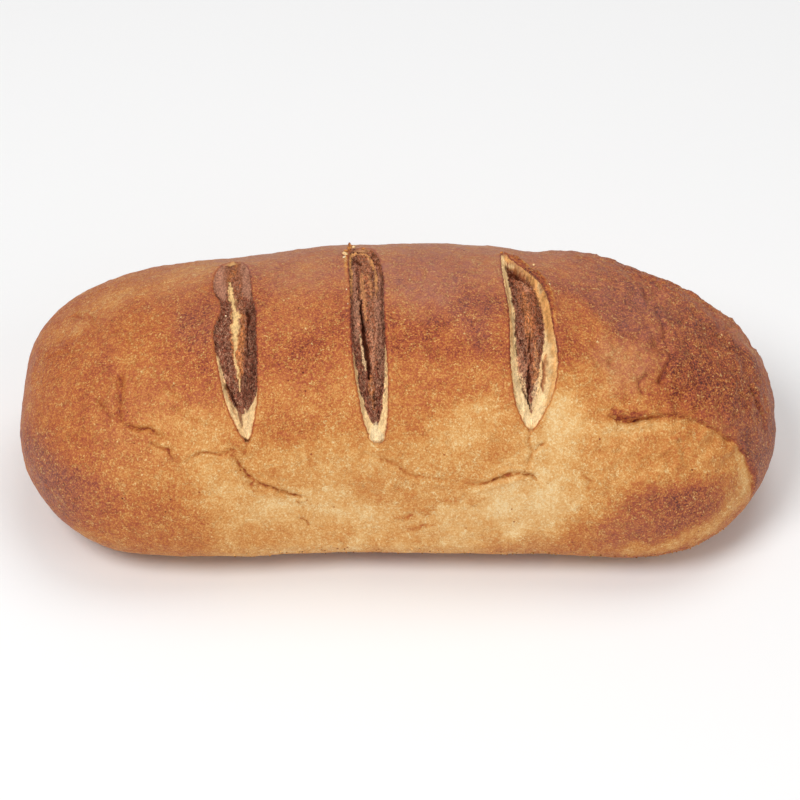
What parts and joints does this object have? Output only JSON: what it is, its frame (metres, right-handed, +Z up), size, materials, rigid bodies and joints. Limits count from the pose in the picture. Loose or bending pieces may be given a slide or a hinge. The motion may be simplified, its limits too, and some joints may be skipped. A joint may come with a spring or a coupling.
{
  "type": "bread loaf",
  "caption": "Whole marble rye loaf: an oval hearth bread with a browned crust and slashes torn open across its top that show dark marbled dough.",
  "frame": {"origin": "middle of the flat underside", "axes": "+X along the loaf, to the right as seen from the front; -Y the front, where the slashes end low on the flank; +Z up"},
  "size_m": [0.2852, 0.1324, 0.0921],
  "materials": {
    "crust": null
  },
  "bodies": {
    "root": {"loaf": "crust"}
  },
  "joints": []
}
